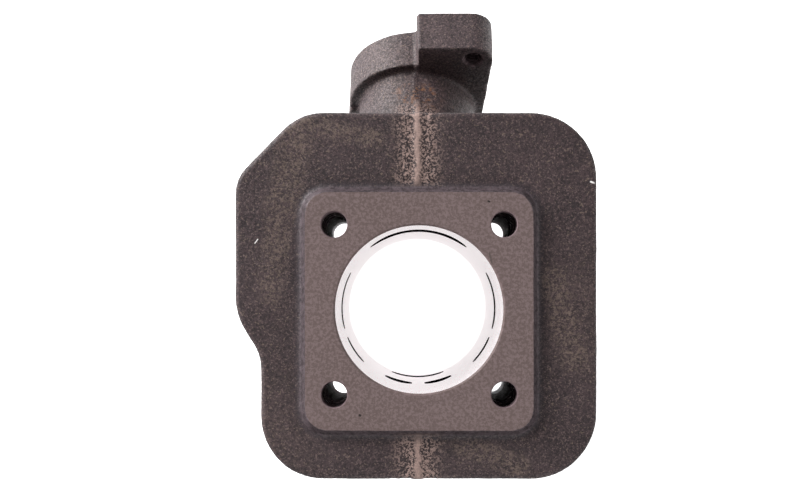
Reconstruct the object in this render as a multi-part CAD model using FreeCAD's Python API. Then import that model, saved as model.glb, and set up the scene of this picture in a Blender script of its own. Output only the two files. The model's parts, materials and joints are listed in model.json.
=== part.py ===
import FreeCAD, Part
import math
import os

# Air-cooled two-stroke engine cylinder: a finned iron casting with a pressed-in ported liner
# and two hollow dowels. Millimetres. +Z runs up the bore to the cylinder head, +Y to the exhaust.
# The origin is on the bore axis, on the face that sits on the crankcase.

# Bore and liner
bore_radius = 23.5
liner_outer_radius = 26.5
skirt_outer_radius = 25.8
head_face_z = 62.0
skirt_end_z = -32.0
bore_mouth_chamfer = 0.5
skirt_lead_chamfer = 1.0

# Head and base faces
head_pad_size = (64.0, 66.8)
head_pad_centre_y = -0.5
head_pad_corner = 6.0
head_pad_rise = 3.2
head_pad_flare = 1.4
base_flange_x = 40.0
base_flange_y = (-38.0, 34.0)
base_flange_corner = 11.0
base_flange_thickness = 9.0

# Studs that clamp head, cylinder and crankcase together, and the dowels around two of them
stud_spacing = 47.5
stud_hole_radius = 3.625
stud_boss_radius = 6.8
stud_boss_top_z = 35.0
dowel_outer_radius = 5.0
dowel_length = 12.0
dowel_seat_depth = 6.2
dowel_edge_chamfer = 0.5

# Cooling fins
fin_count = 7
fin_pitch = 7.3
fin_thickness = 2.6
top_fin_thickness = 4.0
fin_inset_step = 0.5
fin_edge_round = 1.0
fin_right = 50.1
fin_left = -44.65
fin_left_bulge = -51.85
fin_front = -47.9
fin_back = 55.5
fin_cut_corner = (-33.6, 37.0)
fin_slant = (-1.45, -13.2)

# Barrel wall and the bulges around the transfer ducts, radii from the bore axis
barrel_radius = 29.6
transfer_bulge_radius = 39.0
boost_bulge_radius = 37.0
duct_wall = 3.5

# Exhaust duct: it leaves the barrel at the back and runs down towards the crankcase
exhaust_slope_deg = 28.6
exhaust_x = -0.4
outlet_y = 74.6
outlet_z = 4.0
flange_radius = 21.2
flange_thickness = 12.6
duct_radius_at_flange = 18.1
duct_radius_at_barrel = 17.0
duct_length = 60.0
outlet_radius = 13.5
gasket_seat_radius = 15.5
gasket_seat_depth = 2.0
ear_height = 30.0
ear_width_at_tip = 23.2
ear_thickness = 13.5
ear_corner = 6.5
ear_inner_corner = 0.8
exhaust_thread_circle_radius = 30.0
exhaust_thread_angle_deg = 56.0
exhaust_thread_radius = 2.5
exhaust_thread_mouth_radius = 3.3
funnel_start_y = 17.6
# Where the round end is divided, so that each arc meets one side or corner of the port window
funnel_joint_degs = [194, 238, 302, 346, 374, 418, 482, 526, 554]

# Ports in the liner: angle from +X, half-angle, bottom and top height, corner radius
exhaust_port = (90.0, 38.0, 22.0, 37.0, 6.0)
main_transfer_ports = [(6.25, 21.75, 17.0, 25.0, 2.5), (173.75, 21.75, 17.0, 25.0, 2.5)]
aux_transfer_ports = [(-33.25, 11.25, 17.0, 25.0, 2.5), (213.25, 11.25, 17.0, 25.0, 2.5)]
boost_ports = [(-74.6, 10.65, 7.0, 20.0, 4.0), (254.6, 10.65, 7.0, 20.0, 4.0)]
skirt_window = (-90.0, 22.0, -28.5, -20.0, 3.0)
transfer_duct_radius = 35.5
aux_duct_radius = 28.7
boost_duct_radius = 33.5


def vector(x, y, z=0.0):
    return FreeCAD.Vector(x, y, z)


def rounded_wire(corners):
    """A closed outline in the XY plane from (x, y, corner radius), with each corner an arc."""
    count = len(corners)
    entries, exits, middles = [], [], []
    for index, (x, y, radius) in enumerate(corners):
        corner = vector(x, y)
        before = vector(*corners[index - 1][:2])
        after = vector(*corners[(index + 1) % count][:2])
        towards_before = (before - corner).normalize()
        towards_after = (after - corner).normalize()
        half_angle = towards_before.getAngle(towards_after) / 2
        reach = radius / math.tan(half_angle)
        bisector = (towards_before + towards_after).normalize()
        entries.append(corner + towards_before * reach)
        exits.append(corner + towards_after * reach)
        middles.append(corner + bisector * (radius / math.sin(half_angle) - radius))
    edges = []
    for index in range(count):
        if corners[index][2] > 0:
            edges.append(Part.Arc(entries[index], middles[index], exits[index]).toShape())
        edges.append(Part.LineSegment(exits[index], entries[(index + 1) % count]).toShape())
    return Part.Wire(edges)


def plate(corners, bottom_z, top_z):
    """A flat plate with a rounded outline."""
    face = Part.Face(rounded_wire(corners))
    face.translate(vector(0, 0, bottom_z))
    return face.extrude(vector(0, 0, top_z - bottom_z))


def rectangle(x_low, x_high, y_low, y_high, corner):
    return [
        (x_low, y_low, corner),
        (x_high, y_low, corner),
        (x_high, y_high, corner),
        (x_low, y_high, corner),
    ]


def cylinder(radius, bottom_z, top_z, x=0.0, y=0.0):
    return Part.makeCylinder(radius, top_z - bottom_z, vector(x, y, bottom_z))


def cone(bottom_radius, top_radius, bottom_z, top_z, x=0.0, y=0.0):
    return Part.makeCone(bottom_radius, top_radius, top_z - bottom_z, vector(x, y, bottom_z))


def turned_sector(profile, start_deg, end_deg):
    """Part of a ring about the bore axis, turned from an outline of (radius, height) points."""
    points = [vector(radius, 0, height) for radius, height in profile]
    face = Part.Face(Part.makePolygon(points + points[:1]))
    solid = face.revolve(vector(0, 0), vector(0, 0, 1), end_deg - start_deg)
    solid.rotate(vector(0, 0), vector(0, 0, 1), start_deg)
    return solid


def stud_places():
    half = stud_spacing / 2
    return [(half * sx, half * sy) for sx in (-1, 1) for sy in (-1, 1)]


def dowel_places():
    """The dowels sit in two stud holes across a diagonal."""
    half = stud_spacing / 2
    return {"left": (-half, half), "right": (half, -half)}


def single_solid(shape):
    """The one solid that a joined or cut shape holds, with its split faces merged."""
    solids = shape.removeSplitter().Solids
    assert len(solids) == 1, "the piece has come apart"
    return solids[0]


def port_cutter(port, inner_radius, outer_radius):
    """A window through the liner wall: a rounded rectangle pushed straight out from the bore."""
    angle_deg, half_angle_deg, bottom_z, top_z, corner = port
    half_width = bore_radius * math.sin(math.radians(half_angle_deg))
    outline = rounded_wire(rectangle(-half_width, half_width, bottom_z, top_z, corner))
    cutter = Part.Face(outline).extrude(vector(0, 0, outer_radius - inner_radius))
    cutter.rotate(vector(0, 0), vector(1, 0, 0), 90)
    cutter.translate(vector(0, -inner_radius, 0))
    cutter.rotate(vector(0, 0), vector(0, 0, 1), angle_deg + 90)
    return cutter


def fin_outline(inset):
    """The fin's outline: a long rounded rectangle with a cut corner and a bulge on the left."""
    cut_x, cut_y = fin_cut_corner
    slant_back, slant_front = fin_slant
    outline = rounded_wire([
        (fin_right, fin_back, 18.5),
        (cut_x, fin_back, 14.9),
        (fin_left_bulge, cut_y, 10.3),
        (fin_left_bulge, slant_back, 18.5),
        (fin_left, slant_front, 12.2),
        (fin_left, fin_front, 17.9),
        (fin_right, fin_front, 18.7),
    ])
    return outline.makeOffset2D(-inset) if inset > 0 else outline


def fin(index):
    """One cooling fin, counted down from the head, with eased edges."""
    top_z = head_face_z - head_pad_rise - index * fin_pitch
    thickness = top_fin_thickness if index == 0 else fin_thickness
    face = Part.Face(fin_outline(index * fin_inset_step))
    face.translate(vector(0, 0, top_z - thickness))
    solid = face.extrude(vector(0, 0, thickness))
    rims = [edge for edge in solid.Edges if is_rim(edge, top_z, thickness)]
    return solid.makeFillet(fin_edge_round, rims)


def is_rim(edge, top_z, thickness):
    """True for an edge of the fin's top or bottom face, false for its short upright edges."""
    low, high = edge.BoundBox.ZMin, edge.BoundBox.ZMax
    level = high - low < 0.01
    return level and (abs(high - top_z) < 0.01 or abs(low - (top_z - thickness)) < 0.01)


def exhaust_placement():
    """Puts a shape drawn on the flange's outlet face in place; its own +Z points back inward."""
    turn = FreeCAD.Rotation(vector(1, 0, 0), 90 - exhaust_slope_deg)
    return FreeCAD.Placement(vector(exhaust_x, outlet_y, outlet_z), turn)


def placed_on_exhaust(shape):
    shape.Placement = exhaust_placement().multiply(shape.Placement)
    return shape


def exhaust_flange():
    """The round collar with its two ears, drawn on the outlet face."""
    ear = plate(
        [
            (0, 0, 0),
            (flange_radius - 0.1, 0, 0),
            (ear_width_at_tip, ear_height, ear_corner),
            (0, ear_height, ear_inner_corner),
        ],
        0,
        ear_thickness,
    )
    opposite_ear = ear.copy()
    opposite_ear.rotate(vector(0, 0), vector(0, 0, 1), 180)
    collar = cylinder(flange_radius, 0, flange_thickness)
    return placed_on_exhaust(collar.fuse([ear, opposite_ear]).removeSplitter())


def exhaust_duct():
    """The outside of the duct between the barrel and the flange."""
    duct = cone(
        duct_radius_at_flange,
        duct_radius_at_barrel,
        flange_thickness,
        flange_thickness + duct_length,
    )
    return placed_on_exhaust(duct)


def arc_between(radius, start_deg, end_deg):
    angles = [math.radians(a) for a in (start_deg, (start_deg + end_deg) / 2, end_deg)]
    points = [vector(radius * math.cos(a), radius * math.sin(a)) for a in angles]
    return Part.Arc(*points).toShape()


def exhaust_passage():
    """The gas way: a wide window at the bore that turns round at the flange."""
    round_edges = [
        arc_between(outlet_radius, start, end)
        for start, end in zip(funnel_joint_degs, funnel_joint_degs[1:])
    ]
    round_end = Part.Wire(round_edges)
    round_end.translate(vector(0, 0, flange_thickness))
    placed_on_exhaust(round_end)

    half_width = bore_radius * math.sin(math.radians(exhaust_port[1]))
    bottom_z, top_z, corner = exhaust_port[2:]
    window = rounded_wire(rectangle(-half_width, half_width, bottom_z, top_z, corner))
    window.rotate(vector(0, 0), vector(1, 0, 0), 90)
    window.translate(vector(0, funnel_start_y, 0))

    funnel = Part.makeLoft([window, round_end], True, True)
    straight = cylinder(outlet_radius, -1, flange_thickness)
    seat = cylinder(gasket_seat_radius, -1, gasket_seat_depth)
    return [funnel, placed_on_exhaust(straight), placed_on_exhaust(seat)]


def exhaust_threads():
    """Tapped holes through the ears, with a countersunk mouth at both ends."""
    cutters = []
    mouth = exhaust_thread_mouth_radius
    tapped = exhaust_thread_radius
    sink = mouth - tapped
    for turn_deg in (0, 180):
        angle = math.radians(exhaust_thread_angle_deg + turn_deg)
        x = exhaust_thread_circle_radius * math.cos(angle)
        y = exhaust_thread_circle_radius * math.sin(angle)
        hole = cylinder(tapped, -1, ear_thickness + 1, x, y)
        front_mouth = cone(mouth, tapped, 0, sink, x, y)
        back_mouth = cone(tapped, mouth, ear_thickness - sink, ear_thickness, x, y)
        cutters += [placed_on_exhaust(part) for part in (hole, front_mouth, back_mouth)]
    return cutters


def duct_profile(outer_radius, top_z, inner_radius=20.0, bottom_z=0.0, roof_drop=7.0):
    """Cross-section of a gas duct beside the bore, its roof sloping down to the outside."""
    return [
        (inner_radius, bottom_z),
        (outer_radius, bottom_z),
        (outer_radius, top_z - roof_drop),
        (inner_radius + 0.3 * (outer_radius - inner_radius), top_z),
        (inner_radius, top_z),
    ]


def port_limits(port):
    return port[0] - port[1], port[0] + port[1]


def transfer_bulges():
    """Iron around the transfer and boost ducts, outside the barrel wall."""
    wall_deg = math.degrees(duct_wall / transfer_duct_radius)
    bulges = []
    for port in main_transfer_ports:
        start, end = port_limits(port)
        profile = duct_profile(transfer_bulge_radius, port[3] + duct_wall)
        bulges.append(turned_sector(profile, start - wall_deg, end + wall_deg))
    right_boost, left_boost = boost_ports
    start = port_limits(left_boost)[0] - 360
    end = port_limits(right_boost)[1]
    profile = duct_profile(boost_bulge_radius, right_boost[3] + duct_wall)
    bulges.append(turned_sector(profile, start - wall_deg, end + wall_deg))
    return bulges


def transfer_ducts():
    """The ducts themselves, open at the base face and at the liner's ports."""
    ducts = []
    for ports, radius in (
        (main_transfer_ports, transfer_duct_radius),
        (aux_transfer_ports, aux_duct_radius),
        (boost_ports, boost_duct_radius),
    ):
        for port in ports:
            start, end = port_limits(port)
            profile = duct_profile(radius, port[3], bottom_z=-1.0, roof_drop=4.0)
            ducts.append(turned_sector(profile, start, end))
    return ducts


def head_pad():
    """The raised square for the head gasket, its sides flaring out to the top fin."""
    outlines = []
    for flare, height in ((head_pad_flare, head_face_z - head_pad_rise), (0, head_face_z)):
        half_x = head_pad_size[0] / 2 + flare
        half_y = head_pad_size[1] / 2 + flare
        low_y = head_pad_centre_y - half_y
        high_y = head_pad_centre_y + half_y
        corner = head_pad_corner + flare
        outline = rounded_wire(rectangle(-half_x, half_x, low_y, high_y, corner))
        outline.translate(vector(0, 0, height))
        outlines.append(outline)
    return Part.makeLoft(outlines, True, True)


def finned_barrel():
    """The iron casting, machined for the liner, studs, dowels, head and exhaust."""
    base = plate(
        rectangle(-base_flange_x, base_flange_x, *base_flange_y, base_flange_corner),
        0,
        base_flange_thickness,
    )
    solids = [cylinder(barrel_radius, 0, head_face_z - 1), head_pad(), base]
    solids += [fin(index) for index in range(fin_count)]
    solids += [cylinder(stud_boss_radius, 0, stud_boss_top_z, x, y) for x, y in stud_places()]
    solids += transfer_bulges()
    solids += [exhaust_duct(), exhaust_flange()]
    casting = solids[0].fuse(solids[1:])

    cutters = [cylinder(liner_outer_radius, -1, head_face_z + 1)]
    cutters += [cylinder(stud_hole_radius, -1, head_face_z + 1, x, y) for x, y in stud_places()]
    cutters += [
        cylinder(dowel_outer_radius, -1, dowel_seat_depth, x, y)
        for x, y in dowel_places().values()
    ]
    cutters += transfer_ducts() + exhaust_passage() + exhaust_threads()
    return single_solid(casting.cut(cutters))


def bore_liner():
    """The ported sleeve that the piston runs in; its lower end is the skirt in the crankcase."""
    sleeve = cylinder(liner_outer_radius, 0, head_face_z)
    skirt = cylinder(skirt_outer_radius, skirt_end_z + skirt_lead_chamfer, 0)
    lead = cone(
        skirt_outer_radius - skirt_lead_chamfer,
        skirt_outer_radius,
        skirt_end_z,
        skirt_end_z + skirt_lead_chamfer,
    )
    outside = sleeve.fuse([skirt, lead])
    bore = cylinder(bore_radius, skirt_end_z - 1, head_face_z + 1)
    mouth = cone(
        bore_radius,
        bore_radius + bore_mouth_chamfer,
        head_face_z - bore_mouth_chamfer,
        head_face_z,
    )
    ports = [exhaust_port, skirt_window] + main_transfer_ports + aux_transfer_ports + boost_ports
    windows = [port_cutter(port, 0.6 * bore_radius, liner_outer_radius + 2) for port in ports]
    return single_solid(outside.cut([bore, mouth] + windows))


def base_dowel(x, y):
    """A hollow dowel around a stud, half in the casting and half standing out for the crankcase."""
    top_z = dowel_length / 2
    tube = cylinder(dowel_outer_radius, -top_z, top_z, x, y)
    rims = [edge for edge in tube.Edges if edge.Closed]
    tube = tube.makeChamfer(dowel_edge_chamfer, rims)
    stud_way = cylinder(stud_hole_radius, -dowel_length, dowel_length, x, y)
    return single_solid(tube.cut(stud_way))


def main():
    nodes = {"finned_barrel": finned_barrel(), "bore_liner": bore_liner()}
    for side, (x, y) in dowel_places().items():
        nodes["base_dowel_" + side] = base_dowel(x, y)
    os.makedirs("parts", exist_ok=True)
    for name, shape in nodes.items():
        print(name, "volume", round(shape.Volume), "mm3, valid", shape.isValid())
        shape.exportStep("parts/" + name + ".step")


main()
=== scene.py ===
import bpy
import json
import math
from mathutils import Matrix, Vector, noise


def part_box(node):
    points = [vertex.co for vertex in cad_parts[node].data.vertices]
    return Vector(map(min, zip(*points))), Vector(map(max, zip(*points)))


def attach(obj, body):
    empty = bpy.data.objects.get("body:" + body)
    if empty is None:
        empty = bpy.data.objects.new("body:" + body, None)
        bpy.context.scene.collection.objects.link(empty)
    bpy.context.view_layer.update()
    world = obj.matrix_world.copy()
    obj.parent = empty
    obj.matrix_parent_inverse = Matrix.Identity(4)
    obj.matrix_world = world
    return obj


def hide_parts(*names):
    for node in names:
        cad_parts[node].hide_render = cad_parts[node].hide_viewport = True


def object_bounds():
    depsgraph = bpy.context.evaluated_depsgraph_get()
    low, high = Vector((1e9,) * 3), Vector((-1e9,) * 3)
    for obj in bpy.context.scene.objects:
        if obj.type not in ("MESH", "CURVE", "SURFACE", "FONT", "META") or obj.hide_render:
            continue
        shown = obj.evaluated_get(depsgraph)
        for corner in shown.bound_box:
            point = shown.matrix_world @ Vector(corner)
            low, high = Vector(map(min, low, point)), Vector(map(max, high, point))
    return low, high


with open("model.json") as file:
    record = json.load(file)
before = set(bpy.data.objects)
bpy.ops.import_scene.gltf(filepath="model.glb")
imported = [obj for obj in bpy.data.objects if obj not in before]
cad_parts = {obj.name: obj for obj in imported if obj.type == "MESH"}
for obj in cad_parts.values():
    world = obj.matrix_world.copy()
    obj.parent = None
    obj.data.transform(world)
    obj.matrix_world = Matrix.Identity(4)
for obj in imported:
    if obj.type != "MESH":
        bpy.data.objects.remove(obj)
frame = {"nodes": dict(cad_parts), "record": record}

cadBox = [list(corner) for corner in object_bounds()]
mm = 0.001
mounts = {mount["name"]: mount for mount in frame["record"]["mounts"]}
boreRadius = mounts["bore"]["dims"]["r_mm"] * mm
skirtRadius = mounts["spigot"]["dims"]["r_mm"] * mm
headZ = mounts["head_face"]["pos_m"][2]
baseZ = mounts["base_face"]["pos_m"][2]
linerLow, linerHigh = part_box("bore_liner")
linerRadius = linerHigh.x
studRadius = mounts["stud_holes"]["dims"]["hole_r_mm"] * mm
studHalf = mounts["stud_holes"]["dims"]["spacing_x_mm"] * mm / 2
studPlaces = [(x * studHalf, y * studHalf) for x in (-1, 1) for y in (-1, 1)]
dowelNames = ["base_dowel_left", "base_dowel_right"]
dowelPlaces = [(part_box(name)[0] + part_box(name)[1]) / 2 for name in dowelNames]
dowelRadius = (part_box(dowelNames[0])[1].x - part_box(dowelNames[0])[0].x) / 2
outletPoint = Vector(mounts["exhaust_outlet"]["pos_m"])
outletAxis = Vector(mounts["exhaust_face"]["axis"])
outletRadius = mounts["exhaust_outlet"]["dims"]["r_mm"] * mm
outletFace = Vector(mounts["exhaust_face"]["pos_m"])
outletCentre = outletPoint + outletAxis * (outletFace - outletPoint).dot(outletAxis)
outletUp = Vector((0, -outletAxis.z, outletAxis.y))  # across the flange, towards the upper ear
boltCircle = mounts["exhaust_bolts"]["dims"]["pcd_mm"] * mm / 2
tapRadius = mounts["exhaust_bolts"]["dims"]["hole_r_mm"] * mm
seamX = outletCentre.x  # the two mould halves meet in this plane


# helpers for shapes

def pickOnly(*pieces):
    bpy.ops.object.select_all(action="DESELECT")
    for piece in pieces:
        piece.hide_set(False)
        piece.select_set(True)
    bpy.context.view_layer.objects.active = pieces[0]


def applied(piece, kind, **settings):
    # adds a modifier with these settings and applies it
    pickOnly(piece)
    modifier = piece.modifiers.new(kind.lower(), kind)
    for name, value in settings.items():
        setattr(modifier, name, value)
    bpy.ops.object.modifier_apply(modifier=modifier.name)


def selectVertices(piece, test):
    # goes to edit mode with just the vertices that pass the test selected
    pickOnly(piece)
    bpy.ops.object.mode_set(mode="EDIT")
    bpy.ops.mesh.select_mode(type="VERT")
    bpy.ops.mesh.select_all(action="DESELECT")
    bpy.ops.object.mode_set(mode="OBJECT")
    for vertex in piece.data.vertices:
        vertex.select = test(vertex.co)
    bpy.ops.object.mode_set(mode="EDIT")


def leaveEdit():
    bpy.ops.object.mode_set(mode="OBJECT")


def settle(name):
    # names the new active piece and puts its place into its mesh
    piece = bpy.context.active_object
    piece.name = name
    bpy.ops.object.transform_apply(location=True, rotation=True, scale=True)
    return piece


def addBlock(name, low, high):
    low, high = Vector(low), Vector(high)
    bpy.ops.object.select_all(action="DESELECT")
    bpy.ops.mesh.primitive_cube_add(size=1, location=(low + high) / 2, scale=high - low)
    return settle(name)


def pointAlong(piece, start, end):
    turn = Vector((0, 0, 1)).rotation_difference(end - start)
    piece.matrix_world = Matrix.Translation((start + end) / 2) @ turn.to_matrix().to_4x4()


def addRod(name, radius, start, end, segments=96, endRadius=None):
    # a round bar, or a cone when it has an end radius, from one point to another
    start, end = Vector(start), Vector(end)
    far = radius if endRadius is None else endRadius
    bpy.ops.object.select_all(action="DESELECT")
    bpy.ops.mesh.primitive_cone_add(vertices=segments, radius1=radius, radius2=far,
                                    depth=(end - start).length)
    pointAlong(bpy.context.active_object, start, end)
    return settle(name)


def cutAway(piece, cutter):
    applied(piece, "BOOLEAN", operation="DIFFERENCE", solver="MANIFOLD", object=cutter)
    bpy.data.objects.remove(cutter)


def joinTools(tools):
    # several overlapping cutters become one, so the heavy casting is cut only once
    first = tools[0]
    for other in tools[1:]:
        applied(first, "BOOLEAN", operation="UNION", solver="MANIFOLD", object=other)
        bpy.data.objects.remove(other)
    return first


def copyOf(piece, name):
    pickOnly(piece)
    bpy.ops.object.duplicate()
    twin = bpy.context.active_object
    twin.name = name
    twin.parent = None
    for key in list(twin.keys()):
        del twin[key]
    return twin


def cloudTexture(name, size, depth=2):
    texture = bpy.data.textures.new(name, "CLOUDS")
    texture.noise_scale = size
    texture.noise_depth = depth
    return texture


def smoothStep(low, high, value):
    step = min(max((value - low) / (high - low), 0), 1)
    return step * step * (3 - 2 * step)


# helpers for materials

def addNode(tree, kind, inputs=None, **settings):
    # a node with its settings, its input values, and links from other nodes' sockets
    made = tree.nodes.new("ShaderNode" + kind)
    for name, value in settings.items():
        setattr(made, name, value)
    for key, value in (inputs or {}).items():
        if isinstance(value, bpy.types.NodeSocket):
            tree.links.new(value, made.inputs[key])
        else:
            made.inputs[key].default_value = value
    return made


def maths(tree, operation, first, second=0.0, clamp=False):
    made = addNode(tree, "Math", {0: first, 1: second}, operation=operation, use_clamp=clamp)
    return made.outputs[0]


def times(tree, first, second):
    return maths(tree, "MULTIPLY", first, second)


def plus(tree, first, second):
    return maths(tree, "ADD", first, second)


def flipped(tree, mask):
    return maths(tree, "SUBTRACT", 1.0, mask)


def fade(tree, value, low, high):
    # 0 at low, 1 at high, with a soft change between
    made = addNode(tree, "MapRange", {"Value": value, "From Min": low, "From Max": high},
                   interpolation_type="SMOOTHSTEP")
    return made.outputs["Result"]


def mixed(tree, factor, first, second, blend="MIX"):
    made = addNode(tree, "Mix", {0: factor, 6: first, 7: second}, data_type="RGBA",
                   blend_type=blend)
    return made.outputs[2]


def noiseOf(tree, where, size, detail=2.0, roughness=0.5, stretch=None):
    if stretch:
        where = addNode(tree, "Mapping", {"Vector": where, "Scale": stretch}).outputs[0]
    made = addNode(tree, "TexNoise", {"Vector": where, "Scale": 1 / size, "Detail": detail,
                                      "Roughness": roughness})
    return made.outputs["Fac"]


def startGroup(name, inputs, outputs):
    tree = bpy.data.node_groups.new(name, "ShaderNodeTree")
    for label, kind, value in inputs:
        socket = tree.interface.new_socket(label, in_out="INPUT", socket_type="NodeSocket" + kind)
        if value is not None:
            socket.default_value = value
    for label, kind in outputs:
        tree.interface.new_socket(label, in_out="OUTPUT", socket_type="NodeSocket" + kind)
    entry = tree.nodes.new("NodeGroupInput").outputs
    leave = tree.nodes.new("NodeGroupOutput").inputs
    return tree, entry, leave


def useGroup(tree, group, inputs):
    made = tree.nodes.new("ShaderNodeGroup")
    made.node_tree = group
    for key, value in inputs.items():
        if isinstance(value, bpy.types.NodeSocket):
            tree.links.new(value, made.inputs[key])
        else:
            made.inputs[key].default_value = value
    return made.outputs


def startMaterial(name):
    material = bpy.data.materials.new(name)
    material.use_nodes = True
    tree = material.node_tree
    where = tree.nodes.new("ShaderNodeTexCoord").outputs["Object"]
    return material, tree, tree.nodes["Principled BSDF"], where


def finishMaterial(tree, shader, colour, roughness, height, bumpDistance, **fixed):
    tree.links.new(colour, shader.inputs["Base Color"])
    tree.links.new(roughness, shader.inputs["Roughness"])
    bump = addNode(tree, "Bump", {"Height": height, "Distance": bumpDistance, "Strength": 1.0})
    tree.links.new(bump.outputs["Normal"], shader.inputs["Normal"])
    for name, value in fixed.items():
        shader.inputs[name].default_value = value


# shader effects shared by the finishes

def buildGrain():
    # sand-mould grain: fine pits and peaks, with sparse pale specks on the peaks
    tree, entry, leave = startGroup(
        "sandGrain",
        [("Where", "Vector", None), ("Grain size", "Float", 0.6 * mm), ("Specks", "Float", 0.5)],
        [("Height", "Float"), ("Speck mask", "Float")])
    scale = maths(tree, "DIVIDE", 1.0, entry["Grain size"])
    fine = addNode(tree, "TexNoise", {"Vector": entry["Where"], "Scale": scale, "Detail": 3.0,
                                      "Roughness": 0.65}).outputs["Fac"]
    coarseScale = times(tree, scale, 0.37)
    coarse = addNode(tree, "TexNoise", {"Vector": entry["Where"], "Scale": coarseScale,
                                        "Detail": 2.0}).outputs["Fac"]
    height = maths(tree, "MULTIPLY_ADD", coarse, 0.6)
    tree.links.new(fine, height.node.inputs[2])
    tree.links.new(height, leave["Height"])
    speckScale = times(tree, scale, 0.8)
    cells = addNode(tree, "TexNoise", {"Vector": entry["Where"], "Scale": speckScale,
                                       "Detail": 1.0}).outputs["Fac"]
    level = maths(tree, "MULTIPLY_ADD", entry["Specks"], -0.25)
    level.node.inputs[2].default_value = 0.78
    above = maths(tree, "SUBTRACT", cells, level)
    tree.links.new(fade(tree, above, -0.015, 0.05), leave["Speck mask"])
    return tree


def buildScratch():
    # a mask along one straight mark, from start to end, with soft sides
    tree, entry, leave = startGroup(
        "scratchMark",
        [("Where", "Vector", None), ("Start", "Vector", None), ("End", "Vector", None),
         ("Width", "Float", 0.3 * mm)],
        [("Mask", "Float")])

    def vectorMath(operation, first, second):
        return addNode(tree, "VectorMath", {0: first, 1: second}, operation=operation).outputs

    away = vectorMath("SUBTRACT", entry["Where"], entry["Start"])[0]
    along = vectorMath("SUBTRACT", entry["End"], entry["Start"])[0]
    reach = vectorMath("DOT_PRODUCT", away, along)["Value"]
    length = vectorMath("DOT_PRODUCT", along, along)["Value"]
    share = maths(tree, "DIVIDE", reach, length, clamp=True)
    nearest = addNode(tree, "VectorMath", {0: along, "Scale": share}, operation="SCALE").outputs[0]
    gap = vectorMath("DISTANCE", away, nearest)["Value"]
    ratio = maths(tree, "DIVIDE", gap, entry["Width"])
    mask = flipped(tree, fade(tree, ratio, 0.25, 0.75))
    tree.links.new(mask, leave["Mask"])
    return tree


def buildPadDistance():
    # how far a point lies outside the head pad's rounded square outline, negative inside
    tree, entry, leave = startGroup(
        "padDistance",
        [("Where", "Vector", None), ("Centre", "Vector", None), ("Half size", "Vector", None),
         ("Corner", "Float", 6 * mm)],
        [("Distance", "Float")])
    moved = addNode(tree, "VectorMath", {0: entry["Where"], 1: entry["Centre"]},
                    operation="SUBTRACT").outputs[0]
    folded = addNode(tree, "VectorMath", {0: moved}, operation="ABSOLUTE").outputs[0]
    past = addNode(tree, "VectorMath", {0: folded, 1: entry["Half size"]},
                   operation="SUBTRACT").outputs[0]
    parts = addNode(tree, "SeparateXYZ", {0: past}).outputs
    x = plus(tree, parts["X"], entry["Corner"])
    y = plus(tree, parts["Y"], entry["Corner"])
    outX = maths(tree, "MAXIMUM", x, 0.0)
    outY = maths(tree, "MAXIMUM", y, 0.0)
    square = plus(tree, times(tree, outX, outX), times(tree, outY, outY))
    outside = maths(tree, "SQRT", square)
    inside = maths(tree, "MINIMUM", maths(tree, "MAXIMUM", x, y), 0.0)
    distance = maths(tree, "SUBTRACT", plus(tree, outside, inside), entry["Corner"])
    tree.links.new(distance, leave["Distance"])
    return tree


def buildToolMarks():
    # fine parallel tool lines: stretched noise across them, a slow drift along them
    tree, entry, leave = startGroup(
        "toolMarks",
        [("Where", "Vector", None), ("Stretch", "Vector", (1, 1, 1)),
         ("Spacing", "Float", 0.5 * mm)],
        [("Lines", "Float")])
    spread = addNode(tree, "VectorMath", {0: entry["Where"], 1: entry["Stretch"]},
                     operation="MULTIPLY").outputs[0]
    scale = maths(tree, "DIVIDE", 1.0, entry["Spacing"])
    lines = addNode(tree, "TexNoise", {"Vector": spread, "Scale": scale, "Detail": 3.0,
                                       "Roughness": 0.6}).outputs["Fac"]
    tree.links.new(lines, leave["Lines"])
    return tree


sandGrain = buildGrain()
scratchMark = buildScratch()
padDistance = buildPadDistance()
toolMarks = buildToolMarks()
print("shader groups made")


# the rough casting

roughCasting = {
    "stock": 1.2 * mm,        # iron left on every face that gets machined
    "voxel": 0.6 * mm,
    "smoothing": 3,
    "grainSize": 0.9 * mm,
    "grainHeight": 0.14 * mm,
    "swellSize": 14 * mm,
    "swellHeight": 0.3 * mm,
    "middle": 0.62,           # above a half, so the grain mostly cuts in
    "boxMargin": 0.02 * mm,
    "faceSlack": 0.02 * mm,
    "padSide": 28 * mm,       # the head pad's edge lies outside this, and is tucked in a little
    "padTuck": 0.45,
    "outletDepth": 10.8 * mm,
    "outletSpan": 16 * mm,
    "tapSpan": 3.5 * mm,
    "tapCore": 0.9 * mm,
}

seam = {
    "ridgeWidth": 1.1 * mm,   # half of the ridge's width on top
    "ridgeHeight": 0.25 * mm,
    "frontWiden": 1.5,
    "wander": 0.5 * mm,
    "pitWidth": 7.0 * mm,
    "pitSize": 0.9 * mm,
    "pitDepth": 0.42 * mm,
    "padHalfY": 35.5 * mm,
    "wanderLength": 9 * mm,
    "ductLength": 26 * mm,    # on this much of the exhaust duct the seam is fainter
    "ductPits": 0.45,
    "ductRidge": 0.3,
    "mismatch": 0.25 * mm,    # the right mould half sits this much lower on the duct
    "mismatchFade": 8 * mm,
}


def roughen(casting):
    values = roughCasting
    applied(casting, "REMESH", mode="VOXEL", voxel_size=values["voxel"], use_smooth_shade=True)
    applied(casting, "SMOOTH", factor=0.5, iterations=values["smoothing"])
    swell = cloudTexture("swell", values["swellSize"])
    grain = cloudTexture("grain", values["grainSize"], 1)
    applied(casting, "DISPLACE", texture=swell, strength=values["swellHeight"],
            mid_level=values["middle"], texture_coords="LOCAL")
    applied(casting, "DISPLACE", texture=grain, strength=values["grainHeight"],
            mid_level=values["middle"], texture_coords="LOCAL")


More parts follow.
